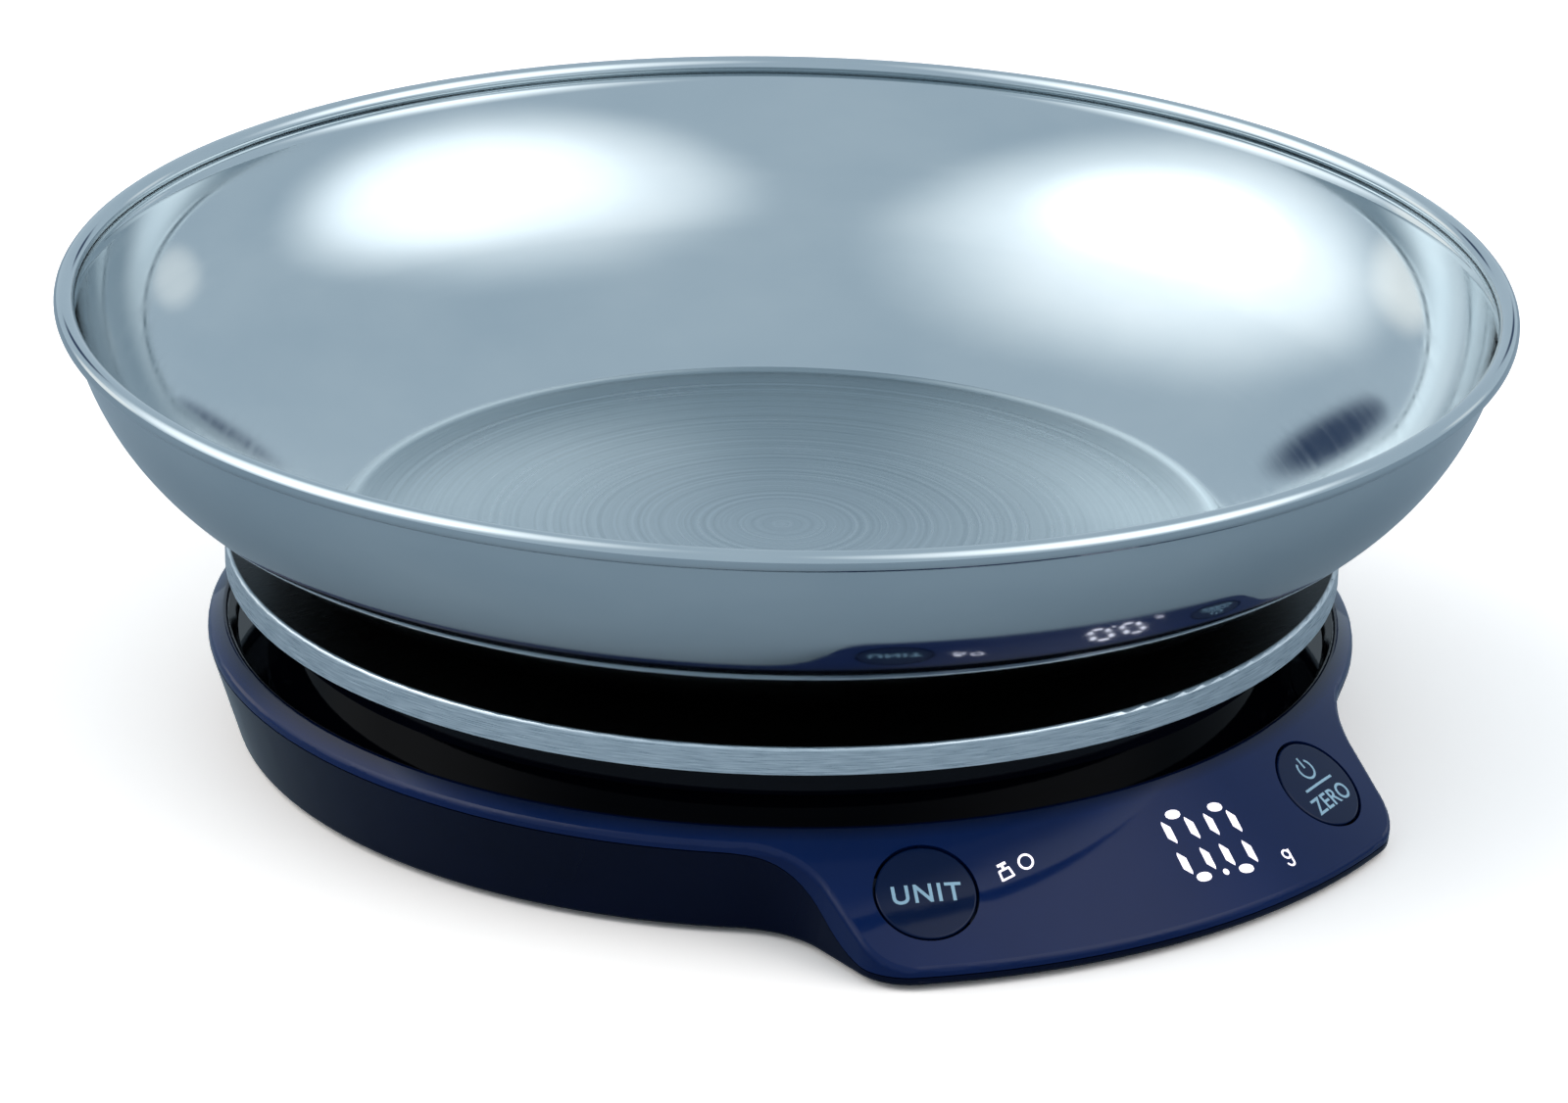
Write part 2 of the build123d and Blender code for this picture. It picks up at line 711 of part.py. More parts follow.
# ---------------------------------------------------------------- batteries and door
first_battery = compartment_front + hinge_room + cell_diameter / 2
battery_y = [first_battery + battery_pitch * i for i in range(battery_count)]
with BuildPart() as batteries:
    for index, y in enumerate(battery_y):
        turn = 1 if index % 2 else -1
        shift = turn * (compartment_half - battery_length / 2 - 1.1)
        with Locations(Plane(origin=(shift, y, battery_z), x_dir=(0, 1, 0), z_dir=(turn, 0, 0))):
            Cylinder(cell_diameter / 2, battery_length - 1.0)
            with Locations((0, 0, battery_length / 2 - 0.5)):
                Cylinder(1.9, 1.0, align=(Align.CENTER, Align.CENTER, Align.MIN))
save(batteries, "batteries")

with BuildPart() as battery_contacts:
    for x in (-1, 1):
        with BuildSketch(Plane.YZ.offset(x * (compartment_half - 0.25))):
            for y in battery_y:
                with Locations((y, battery_z)):
                    RectangleRounded(9, 9, 1)
        extrude(amount=0.25, both=True)
save(battery_contacts, "battery_contacts")

with BuildPart() as battery_springs:
    for index, y in enumerate(battery_y):
        turn = 1 if index % 2 else -1
        start = -turn * (compartment_half - 0.9)
        room = 2 * compartment_half - 1.8 - 1.1 - battery_length - 0.3
        with BuildLine():
            coil = Helix(pitch=room / 3.5, height=room, radius=2.6, center=(start, y, battery_z),
                         direction=(turn, 0, 0))
        with BuildSketch(Plane(origin=coil @ 0, z_dir=coil % 0)):
            Circle(0.3)
        sweep(path=coil, is_frenet=True)
save(battery_springs, "battery_springs")

with BuildPart() as battery_door:
    plate_end = compartment_front + compartment_depth - door_gap
    with BuildSketch(Plane.XY.offset(foot_height + door_recess)):
        with Locations((0, hinge_y)):
            Rectangle(2 * (compartment_half - door_gap), plate_end - hinge_y,
                      align=(Align.CENTER, Align.MIN))
    extrude(amount=door_thickness)
    with BuildSketch(Plane.YZ.offset(-compartment_half + door_gap)):
        with Locations((hinge_y, hinge_z)):
            Circle(hinge_radius)
    extrude(amount=2 * (compartment_half - door_gap))
    with BuildSketch(Plane.YZ.offset(-compartment_half - compartment_wall)):
        with Locations((hinge_y, hinge_z)):
            Circle(hinge_pin)
    extrude(amount=2 * (compartment_half + compartment_wall))
    with BuildSketch(Plane.XY.offset(foot_height + door_recess)):
        with Locations((0, plate_end)):
            Rectangle(12, 1.2, align=(Align.CENTER, Align.MAX))
    extrude(amount=5.5)
save(battery_door, "battery_door")

# ---------------------------------------------------------------- feet, screws and wires
with BuildPart() as rubber_feet:
    with BuildSketch():
        with Locations(*foot_spots):
            Circle(foot_radius)
    extrude(amount=foot_height + foot_recess)
    fillet(rubber_feet.edges().group_by(Axis.Z)[0], 0.6)
save(rubber_feet, "rubber_feet")

with BuildPart() as housing_screws:
    with Locations(*[(x, y, foot_height + screw_recess) for x, y in post_spots]):
        Cylinder(screw_head, screw_head_height, align=(Align.CENTER, Align.CENTER, Align.MAX))
        Cylinder(screw_radius, screw_length, align=(Align.CENTER, Align.CENTER, Align.MIN))
    with BuildSketch(Plane.XY.offset(foot_height + screw_recess - screw_head_height)):
        with Locations(*post_spots):
            Rectangle(3.2, 0.7)
            Rectangle(0.7, 3.2)
    extrude(amount=1.0, mode=Mode.SUBTRACT)
save(housing_screws, "housing_screws")


def wire(points, radii, thickness):
    """Round wire along straight runs joined by arcs."""
    with BuildPart() as strand:
        with BuildLine() as route:
            FilletPolyline(*points, radius=radii)
        with BuildSketch(Plane(origin=route.line @ 0, z_dir=route.line % 0)):
            Circle(thickness / 2)
        sweep(path=route.line)
    return strand


board_back = board_centre[1] + board_size[1] / 2
cell_side = -cell_width / 2
gauge_route = [
    (-14, cell_side - 0.2, 9),
    (-14, cell_side - 16, 8.6),
    (-14, board_back + 12, 9),
    (-14, board_back - 3.9, 9),
]
supply_route = [
    (20, compartment_front - compartment_wall - 0.2, 4.1),
    (20, board_back + 30, 4.1),
    (20, board_back + 14, 6.5),
    (17, board_back - 4.9, 9.2),
]
save(wire(gauge_route, 12, cable_diameter), "cell_cable")
save(wire(supply_route, 12, supply_diameter), "battery_cable")
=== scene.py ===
import math

import bmesh
import bpy
import numpy as np
from mathutils import Matrix, Vector


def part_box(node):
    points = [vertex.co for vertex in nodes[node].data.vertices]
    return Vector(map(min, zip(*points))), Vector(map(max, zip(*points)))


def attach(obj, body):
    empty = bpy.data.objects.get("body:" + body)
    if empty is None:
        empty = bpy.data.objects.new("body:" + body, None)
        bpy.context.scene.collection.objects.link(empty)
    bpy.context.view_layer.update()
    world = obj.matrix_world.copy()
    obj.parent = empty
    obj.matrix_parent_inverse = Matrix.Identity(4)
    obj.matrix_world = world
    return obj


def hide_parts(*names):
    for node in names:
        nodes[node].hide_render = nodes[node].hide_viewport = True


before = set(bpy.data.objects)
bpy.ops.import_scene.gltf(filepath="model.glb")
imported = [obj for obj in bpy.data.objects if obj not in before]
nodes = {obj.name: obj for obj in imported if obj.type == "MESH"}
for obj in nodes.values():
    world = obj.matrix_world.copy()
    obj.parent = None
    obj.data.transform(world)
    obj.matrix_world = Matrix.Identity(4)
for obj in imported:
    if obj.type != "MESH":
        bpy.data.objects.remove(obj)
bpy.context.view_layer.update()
mm = 0.001
weld = 1e-7  # places nearer than this are made one

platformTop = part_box("platform_cap")[1].z
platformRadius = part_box("platform_cap")[1].x
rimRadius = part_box("bowl")[1].x
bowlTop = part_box("bowl")[1].z

# sizes shared by everything that lies on the sloping panel
panel = {
    "crestRadius": 92.2 * mm,
    "crestHeight": 20.0 * mm,
    "slope": math.radians(38),
    "keyAzimuth": 22.5,
    "keyRun": 12.8 * mm,
}


def arcTo(start, heading, end, steps):
    # the circle through start and end that leaves start along heading: with d = end - start and
    # n at right angles to heading, its centre is start + n * (d.d) / (2 n.d)
    start, end = np.array(start, float), np.array(end, float)
    heading = np.array(heading, float) / np.linalg.norm(heading)
    n = np.array((-heading[1], heading[0]))
    d = end - start
    radius = (d @ d) / (2 * (n @ d))
    centre = start + n * radius
    a, b = start - centre, end - centre
    turn = math.atan2(a[0] * b[1] - a[1] * b[0], a @ b)
    angles = np.linspace(0, turn, steps + 1)
    cosines, sines = np.cos(angles), np.sin(angles)
    places = centre + np.stack([a[0] * cosines - a[1] * sines, a[0] * sines + a[1] * cosines], 1)
    ways = np.stack([heading[0] * cosines - heading[1] * sines,
                     heading[0] * sines + heading[1] * cosines], 1)
    return places, ways


def gridObject(name, points):
    # points[i, j] is a grid of places, closed along j; neighbours i, i+1 and j, j+1 share a
    # four-sided face
    rows, columns = points.shape[:2]
    index = np.arange(rows * columns).reshape(rows, columns)
    index = np.concatenate([index, index[:, :1]], 1)
    quads = np.stack([index[:-1, :-1], index[1:, :-1], index[1:, 1:], index[:-1, 1:]], -1)
    return meshObject(name, points.reshape(-1, 3), quads.reshape(-1, 4))


def meshObject(name, places, faces):
    mesh = bpy.data.meshes.new(name)
    mesh.from_pydata(places.tolist(), [], faces.tolist())
    mesh.validate()
    piece = bpy.data.objects.new(name, mesh)
    bpy.context.collection.objects.link(piece)
    tidyMesh(piece)
    return piece


def tidyMesh(piece):
    # merge the poles, point the faces outwards and shade smooth
    work = bmesh.new()
    work.from_mesh(piece.data)
    bmesh.ops.remove_doubles(work, verts=work.verts, dist=weld)
    bmesh.ops.dissolve_degenerate(work, edges=work.edges, dist=weld)
    bmesh.ops.recalc_face_normals(work, faces=work.faces)
    if work.calc_volume(signed=True) < 0:
        bmesh.ops.reverse_faces(work, faces=work.faces)
    for face in work.faces:
        face.smooth = True
    work.to_mesh(piece.data)
    work.free()


def turned(name, profile, steps):
    # surface of revolution: place = (r cos a, r sin a, z) for each profile point and each angle a
    angles = np.linspace(0, 2 * np.pi, steps, endpoint=False)
    r, z = profile[:, :1], profile[:, 1:]
    points = np.stack([r * np.cos(angles), r * np.sin(angles), z + 0 * angles], -1)
    return gridObject(name, points)


def panelPlace(azimuth, across, run, lift):
    # flat layout over the cone: across runs sideways and run runs down from the crest, at one
    # azimuth; height = crest height - (distance from axis - crest radius) * tan(slope), then
    # the place is lifted along the cone's normal
    s = panel["slope"]
    x = across
    y = -(panel["crestRadius"] + run * math.cos(s))
    radius = np.hypot(x, y)
    around = np.arctan2(x, -y) + math.radians(azimuth)
    z = panel["crestHeight"] - (radius - panel["crestRadius"]) * math.tan(s)
    out = radius + lift * math.sin(s)
    return np.stack([out * np.sin(around), -out * np.cos(around), z + lift * math.cos(s)], -1)


def newMaterial(name, baseColor, roughness, metallic=0.0):
    material = bpy.data.materials.new(name)
    material.use_nodes = True
    shader = material.node_tree.nodes["Principled BSDF"]
    shader.inputs["Base Color"].default_value = (*baseColor, 1)
    shader.inputs["Roughness"].default_value = roughness
    shader.inputs["Metallic"].default_value = metallic
    return material, material.node_tree, shader


def addNode(tree, kind, **values):
    node = tree.nodes.new(kind)
    for key, value in values.items():
        setattr(node, key, value)
    return node


def objectNoise(tree, scale, detail=3.0, stretch=(1, 1, 1)):
    source = addNode(tree, "ShaderNodeTexCoord").outputs["Object"]
    mapping = addNode(tree, "ShaderNodeMapping")
    mapping.inputs["Scale"].default_value = stretch
    noise = addNode(tree, "ShaderNodeTexNoise")
    noise.inputs["Scale"].default_value = scale
    noise.inputs["Detail"].default_value = detail
    tree.links.new(source, mapping.inputs["Vector"])
    tree.links.new(mapping.outputs["Vector"], noise.inputs["Vector"])
    return noise.outputs["Fac"]


def ranged(tree, value, low, high, fromLow=0.3, fromHigh=0.7):
    node = addNode(tree, "ShaderNodeMapRange")
    node.inputs["From Min"].default_value = fromLow
    node.inputs["From Max"].default_value = fromHigh
    node.inputs["To Min"].default_value = low
    node.inputs["To Max"].default_value = high
    tree.links.new(value, node.inputs["Value"])
    return node.outputs["Result"]


def tinted(tree, value, dark, light):
    node = addNode(tree, "ShaderNodeMix", data_type="RGBA")
    node.inputs["A"].default_value = (*dark, 1)
    node.inputs["B"].default_value = (*light, 1)
    tree.links.new(value, node.inputs["Factor"])
    return node.outputs["Result"]


def bumped(tree, shader, value, strength, distance):
    node = addNode(tree, "ShaderNodeBump")
    node.inputs["Strength"].default_value = strength
    node.inputs["Distance"].default_value = distance
    tree.links.new(value, node.inputs["Height"])
    tree.links.new(node.outputs["Normal"], shader.inputs["Normal"])


def maths(tree, operation, first, second=None):
    node = addNode(tree, "ShaderNodeMath", operation=operation)
    for socket, value in zip(node.inputs, (first, second)):
        if value is None:
            continue
        if isinstance(value, (int, float)):
            socket.default_value = value
        else:
            tree.links.new(value, socket)
    return node.outputs["Value"]


def roundCoordinates(tree):
    # (distance from the axis, angle times radius, height) of a point in Object coordinates
    place = addNode(tree, "ShaderNodeTexCoord").outputs["Object"]
    split = addNode(tree, "ShaderNodeSeparateXYZ")
    tree.links.new(place, split.inputs[0])
    x, y, z = split.outputs
    squares = [maths(tree, "MULTIPLY", side, side) for side in (x, y)]
    radius = maths(tree, "SQRT", maths(tree, "ADD", *squares))
    angle = maths(tree, "ARCTAN2", x, maths(tree, "MULTIPLY", y, -1.0))
    return radius, angle, z


spun = {
    "base": (0.52, 0.58, 0.60), "roughness": 0.16, "ringScale": 1100, "cloudScale": 28,
    "bottomRough": (70 * mm, 74 * mm), "bottomTint": (69 * mm, 73 * mm),
    "sideDark": (0.49, 0.55, 0.58), "sideLight": (0.55, 0.60, 0.62),
    "baseDark": (0.38, 0.44, 0.47), "baseLight": (0.48, 0.54, 0.57), "bump": (0.06, 0.00002),
}


def spunSteel():
    # polished stainless with the faint rings left by spinning, coarser on the flat bottom
    material, tree, shader = newMaterial("spunSteel", spun["base"], spun["roughness"], 1.0)
    radius = roundCoordinates(tree)[0]
    rings = addNode(tree, "ShaderNodeTexNoise", noise_dimensions="1D")
    rings.inputs["Scale"].default_value = spun["ringScale"]
    rings.inputs["Detail"].default_value = 4
    tree.links.new(radius, rings.inputs["W"])
    cloud = objectNoise(tree, spun["cloudScale"], 4, (1, 1, 2.5))
    flat = ranged(tree, radius, spun["roughness"], 0.0, *spun["bottomRough"])
    ringRoughness = ranged(tree, rings.outputs["Fac"], -0.02, 0.03)
    cloudRoughness = ranged(tree, cloud, 0.055, 0.11)
    total = maths(tree, "ADD", maths(tree, "ADD", ringRoughness, cloudRoughness), flat)
    tree.links.new(total, shader.inputs["Roughness"])
    side = tinted(tree, ranged(tree, cloud, 0, 1), spun["sideDark"], spun["sideLight"])
    ringShare = ranged(tree, rings.outputs["Fac"], 0, 1)
    base = tinted(tree, ringShare, spun["baseDark"], spun["baseLight"])
    tint = addNode(tree, "ShaderNodeMix", data_type="RGBA")
    tree.links.new(ranged(tree, radius, 0, 1, *spun["bottomTint"]), tint.inputs["Factor"])
    tree.links.new(base, tint.inputs["A"])
    tree.links.new(side, tint.inputs["B"])
    tree.links.new(tint.outputs["Result"], shader.inputs["Base Color"])
    bumped(tree, shader, rings.outputs["Fac"], *spun["bump"])
    return material


brushed = {
    "base": (0.62, 0.65, 0.67), "roughness": 0.3, "edgeRadius": 92.4 * mm,
    "slant": math.radians(-24), "edgeStretch": (60, 1400, 1), "topStretch": (50, 1500, 1),
    "lineScale": 3.0, "topStart": (0.75 * mm, 0.45 * mm), "rough": (0.24, 0.42),
    "edgeDark": (0.46, 0.52, 0.56), "edgeLight": (0.82, 0.87, 0.90),
    # the flat top's two near-black colours are a painted reflection of the bowl's dark underside
    "topPaintedReflectionDark": (0.016, 0.015, 0.014), "topPaintedReflectionLight": (0.030, 0.028, 0.026), "bump": (0.35, 0.00003),
}


def brushedSteel():
    # hairlines: on the edge they run slantwise, on the flat top they run in one direction; the
    # flat top's colour is painted nearly black, a painted reflection of the bowl's dark underside
    b = brushed
    material, tree, shader = newMaterial("brushedSteel", b["base"], b["roughness"], 1.0)
    radius, angle, height = roundCoordinates(tree)
    around = maths(tree, "MULTIPLY", angle, b["edgeRadius"])
    slant = addNode(tree, "ShaderNodeCombineXYZ")
    tree.links.new(around, slant.inputs[0])
    tree.links.new(height, slant.inputs[1])
    turn = addNode(tree, "ShaderNodeMapping")
    turn.inputs["Rotation"].default_value = (0, 0, b["slant"])
    turn.inputs["Scale"].default_value = b["edgeStretch"]
    tree.links.new(slant.outputs[0], turn.inputs["Vector"])
    edgeLines = addNode(tree, "ShaderNodeTexNoise")
    edgeLines.inputs["Scale"].default_value = b["lineScale"]
    edgeLines.inputs["Detail"].default_value = 4
    tree.links.new(turn.outputs["Vector"], edgeLines.inputs["Vector"])
    topLines = objectNoise(tree, b["lineScale"], 4, b["topStretch"])
    onTop = ranged(tree, radius, 1, 0, *(platformRadius - inset for inset in b["topStart"]))
    mix = addNode(tree, "ShaderNodeMix", data_type="FLOAT")
    tree.links.new(onTop, mix.inputs["Factor"])
    tree.links.new(edgeLines.outputs["Fac"], mix.inputs["A"])
    tree.links.new(topLines, mix.inputs["B"])
    lines = mix.outputs["Result"]
    tree.links.new(ranged(tree, lines, *b["rough"]), shader.inputs["Roughness"])
    edgeTint = tinted(tree, ranged(tree, lines, 0, 1), b["edgeDark"], b["edgeLight"])
    # painted reflection: on the flat top the base colour is near black, standing for the bowl's dark
    # underside mirrored there
    topPaintedReflection = tinted(tree, ranged(tree, lines, 0, 1), b["topPaintedReflectionDark"], b["topPaintedReflectionLight"])
    tint = addNode(tree, "ShaderNodeMix", data_type="RGBA")
    tree.links.new(onTop, tint.inputs["Factor"])
    tree.links.new(edgeTint, tint.inputs["A"])
    tree.links.new(topPaintedReflection, tint.inputs["B"])
    tree.links.new(tint.outputs["Result"], shader.inputs["Base Color"])
    bumped(tree, shader, lines, *b["bump"])
    return material


def glossPlastic(name, dark, light, roughness, shine):
    # moulded gloss: slow colour drift, a fine orange peel and a few matt specks
    material, tree, shader = newMaterial(name, light, roughness)
    shader.inputs["Specular IOR Level"].default_value = shine
    drift = objectNoise(tree, 35, 3)
    tree.links.new(tinted(tree, ranged(tree, drift, 0, 1), dark, light), shader.inputs["Base Color"])
    specks = objectNoise(tree, 900, 2)
    rough = maths(tree, "ADD", ranged(tree, drift, roughness * 0.8, roughness * 1.2),
                  ranged(tree, specks, 0.0, 0.05, 0.66, 0.75))
    tree.links.new(rough, shader.inputs["Roughness"])
    bumped(tree, shader, objectNoise(tree, 420, 1), 0.05, 0.00002)
    return material


def panelPlastic():
    # the cover: blue on the control panel; on the crest and in the well behind it the colour is painted
    # near black, painted shade under the platform
    material = glossPlastic("navyCover", (0.0012, 0.0100, 0.058), (0.0020, 0.0130, 0.074), 0.045, 0.22)
    tree = material.node_tree
    shader = tree.nodes["Principled BSDF"]
    blue = shader.inputs["Base Color"].links[0].from_socket
    radius = roundCoordinates(tree)[0]
    blueStart, blueWhole = (panel["crestRadius"] + past for past in (-0.3 * mm, 2.5 * mm))
    clearOfPaintedShade = ranged(tree, radius, 0, 1, blueStart, blueWhole)
    # painted shade: inside the crest radius the blue fades to near black, standing for the shade under the
    # platform
    shade = addNode(tree, "ShaderNodeMix", data_type="RGBA")
    shade.inputs["A"].default_value = (0.0006, 0.0009, 0.0022, 1)
    tree.links.new(clearOfPaintedShade, shade.inputs["Factor"])
    tree.links.new(blue, shade.inputs["B"])
    tree.links.new(shade.outputs["Result"], shader.inputs["Base Color"])
    return material


def mattePlastic(name, dark, light, roughness, grain=1800, depth=0.00003):
    # moulded matt plastic, rubber or board: mottled colour with an eroded grain
    material, tree, shader = newMaterial(name, light, roughness)
    mottle = objectNoise(tree, 120, 4)
    tree.links.new(tinted(tree, ranged(tree, mottle, 0, 1), dark, light), shader.inputs["Base Color"])
    tree.links.new(ranged(tree, mottle, roughness - 0.08, roughness + 0.08), shader.inputs["Roughness"])
    bumped(tree, shader, objectNoise(tree, grain, 3), 0.4, depth)
    return material


def plainMetal(name, dark, light, roughness, stretch=(1, 1, 1)):
    # machined or plated metal: streaks follow the stretch
    material, tree, shader = newMaterial(name, light, roughness, 1.0)
    streak = objectNoise(tree, 260, 4, stretch)
    tree.links.new(tinted(tree, ranged(tree, streak, 0, 1), dark, light), shader.inputs["Base Color"])
    tree.links.new(ranged(tree, streak, roughness - 0.1, roughness + 0.1), shader.inputs["Roughness"])
    bumped(tree, shader, streak, 0.2, 0.00003)
    return material


def glowing(name, colour, strength):
    # lit segment: its colour drifts a little at random, seen through smoked plastic
    material, tree, shader = newMaterial(name, colour, 0.25)
    spread = objectNoise(tree, 700, 2)
    tree.links.new(tinted(tree, ranged(tree, spread, 0, 1), tuple(c * 0.86 for c in colour), colour),
                   shader.inputs["Emission Color"])
    shader.inputs["Emission Strength"].default_value = strength
    return material


materials = {
    "bowl": spunSteel(),
    "platform": brushedSteel(),
    "cover": panelPlastic(),
    "key": glossPlastic("navyKey", (0.0010, 0.0070, 0.034), (0.0016, 0.0090, 0.044), 0.06, 0.20),
    "tray": glossPlastic("navyTray", (0.0006, 0.0024, 0.0130), (0.0012, 0.0036, 0.0190), 0.07, 0.13),
    "carrier": glossPlastic("blackCarrier", (0.0010, 0.0014, 0.0036), (0.0018, 0.0023, 0.0055), 0.06, 0.16),
    "rubber": mattePlastic("footRubber", (0.020, 0.020, 0.022), (0.034, 0.034, 0.036), 0.72),
    "black": mattePlastic("switchBlack", (0.018, 0.018, 0.018), (0.034, 0.034, 0.034), 0.5),
    "board": mattePlastic("solderMask", (0.010, 0.085, 0.040), (0.020, 0.130, 0.062), 0.35, 600),
    "display": mattePlastic("displayGrey", (0.060, 0.060, 0.065), (0.095, 0.095, 0.100), 0.5),
    "film": mattePlastic("smokedFilm", (0.012, 0.012, 0.018), (0.022, 0.022, 0.030), 0.3),
    "sleeve": mattePlastic("cellSleeve", (0.20, 0.21, 0.22), (0.27, 0.28, 0.30), 0.3, 300),
    "foam": mattePlastic("padFoam", (0.07, 0.07, 0.07), (0.12, 0.12, 0.12), 0.85, 900),
    "potting": mattePlastic("gaugePotting", (0.70, 0.70, 0.66), (0.82, 0.82, 0.78), 0.45, 500),
    "cable": mattePlastic("cableSleeve", (0.30, 0.03, 0.03), (0.42, 0.05, 0.05), 0.45, 900),
    "zinc": plainMetal("zincPlate", (0.42, 0.43, 0.45), (0.56, 0.57, 0.60), 0.35),
    "aluminium": plainMetal("milledAluminium", (0.62, 0.63, 0.65), (0.76, 0.77, 0.79), 0.32, (1, 12, 1)),
    "nickel": plainMetal("nickelPlate", (0.60, 0.58, 0.54), (0.74, 0.72, 0.68), 0.22),
    "print": mattePlastic("labelPrint", (0.28, 0.44, 0.55), (0.34, 0.52, 0.64), 0.4, 1200, 0.00001),
    "lit": glowing("litSegment", (0.92, 0.84, 0.93), 0.95),
}
print("materials made:", len(materials))

finishes = {
    "platform_carrier": "carrier", "top_cover": "cover", "lower_housing": "tray", "battery_door": "tray",
    "unit_key": "key", "zero_key": "key", "rubber_feet": "rubber", "cap_pads": "foam",
    "load_cell": "aluminium", "upper_spacer": "aluminium", "lower_spacer": "aluminium",
    "gauge_cover": "potting", "upper_cell_screws": "zinc", "lower_cell_screws": "zinc",
    "housing_screws": "zinc", "board_screws": "zinc", "overload_stop": "zinc",
    "unit_switch": "black", "zero_switch": "black", "unit_switch_plunger": "black",
    "zero_switch_plunger": "black", "board_parts": "black", "unit_switch_board": "board",
    "zero_switch_board": "board", "display_board": "board", "main_board": "board",
    "display_module": "display", "display_film": "film", "batteries": "sleeve",
    "battery_contacts": "nickel", "battery_springs": "nickel", "cell_cable": "cable",
    "battery_cable": "cable", "bowl": "bowl", "platform_cap": "platform",
}
for nodeName, finish in finishes.items():
    for slot in nodes[nodeName].material_slots:
        slot.material = materials[finish]
print("finishes on", len(finishes), "of", len(nodes), "nodes")


# the bowl, spun from one sheet with a rolled rim; the lip's two shares are of the bead
bowl = {
    "baseRadius": 71.0 * mm, "knuckle": 14.0 * mm, "knuckleTurn": math.radians(20),
    "sheet": 0.8 * mm, "bead": 1.7 * mm, "bellyInset": 17.8 * mm, "bellyDrop": 26.4 * mm,
    "lipInset": 1.35, "lipDrop": 0.53, "clear": 1.01, "steps": 480,
}


def bowlProfile():
    # outer side: flat bottom, a tight bend, two long arcs; inner side: the same moved in by the
    # sheet along its normal; both end where they meet the rolled bead's circle
    b = bowl
    rimLevel = bowlTop - b["bead"]
    bend = np.linspace(0, b["knuckleTurn"], 9)
    knuckle = np.stack([b["baseRadius"] + b["knuckle"] * np.sin(bend),
                        platformTop + b["knuckle"] * (1 - np.cos(bend))], 1)
    knuckleWays = np.stack([np.cos(bend), np.sin(bend)], 1)
    floorRadii = np.linspace(0, b["baseRadius"], 12, endpoint=False)
    bottom = np.stack([floorRadii, np.full_like(floorRadii, platformTop)], 1)
    bottomWays = np.tile((1.0, 0.0), (len(bottom), 1))
    belly = (rimRadius - b["bellyInset"], rimLevel - b["bellyDrop"])
    lip = (rimRadius - b["lipInset"] * b["bead"], rimLevel - b["lipDrop"] * b["bead"])
    lower, lowerWays = arcTo(knuckle[-1], knuckleWays[-1], belly, 16)
    upper, upperWays = arcTo(lower[-1], lowerWays[-1], lip, 24)
    outer = np.concatenate([bottom, knuckle, lower[1:], upper[1:]])
    ways = np.concatenate([bottomWays, knuckleWays, lowerWays[1:], upperWays[1:]])
    inner = outer + np.stack([-ways[:, 1], ways[:, 0]], 1) * b["sheet"]
    centre = np.array((rimRadius - b["bead"], rimLevel))
    outer = outer[np.linalg.norm(outer - centre, axis=1) > b["bead"] * b["clear"]]
    inner = inner[np.linalg.norm(inner - centre, axis=1) > b["bead"] * b["clear"]]
    begin = math.atan2(*(outer[-1] - centre)[::-1])
    finish = math.atan2(*(inner[-1] - centre)[::-1]) % (2 * math.pi)
    around = np.linspace(begin, finish, 25)
    bead = centre + b["bead"] * np.stack([np.cos(around), np.sin(around)], 1)
    return np.concatenate([outer, bead, inner[::-1]])


bowlShell = turned("bowlShell", bowlProfile(), bowl["steps"])
bowlShell.data.materials.append(materials["bowl"])
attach(bowlShell, "bowl")
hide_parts("bowl")
print("bowl shell:", len(bowlShell.data.polygons), "faces")


marking = {"lift": 0.03 * mm, "thickness": 0.03 * mm, "longEdge": 0.5, "capShare": 0.70}


def onPanel(name, flat, faces, azimuth=0, run=0):
    # flat outlines (x sideways, y up the slope) laid on the cone, with a thin solid body
    places = panelPlace(azimuth, flat[:, 0], run - flat[:, 1], marking["lift"])
    mesh = bpy.data.meshes.new(name)
    mesh.from_pydata(places.tolist(), [], faces)
    piece = bpy.data.objects.new(name, mesh)
    bpy.context.collection.objects.link(piece)
    solid = piece.modifiers.new("thickness", "SOLIDIFY")
    solid.thickness = marking["thickness"]
    solid.offset = -1
    return piece


def lettering(name, words, style, azimuth, run):
    # a text curve made a mesh, refined so that it can bend, then laid on the cone; a capital
    # fills capShare of the curve's size
    height = style["height"]
    curve = bpy.data.curves.new(name, "FONT")
    curve.body = words
    curve.align_x = "CENTER"
    curve.size = height / marking["capShare"]
    curve.offset = height * style["weight"]
    curve.space_character = style["spacing"]
    curve.resolution_u = 8
    holder = bpy.data.objects.new(name + "Curve", curve)
    bpy.context.collection.objects.link(holder)
    bpy.context.view_layer.update()
    ready = holder.evaluated_get(bpy.context.evaluated_depsgraph_get())
    mesh = bpy.data.meshes.new_from_object(ready)
    bpy.data.objects.remove(holder)
    work = bmesh.new()
    work.from_mesh(mesh)
    bmesh.ops.remove_doubles(work, verts=work.verts, dist=weld)
    bmesh.ops.triangulate(work, faces=work.faces)
    longEdges = [e for e in work.edges if e.calc_length() > height * marking["longEdge"]]
    bmesh.ops.subdivide_edges(work, edges=longEdges, cuts=1)
    bmesh.ops.triangulate(work, faces=work.faces)
    flat = np.array([v.co[:2] for v in work.verts])
    faces = [[v.index for v in f.verts] for f in work.faces]
    work.free()
    flat[:, 0] *= style["widen"]
    flat[:, 1] -= height / 2
    return onPanel(name, flat, faces, azimuth, run)


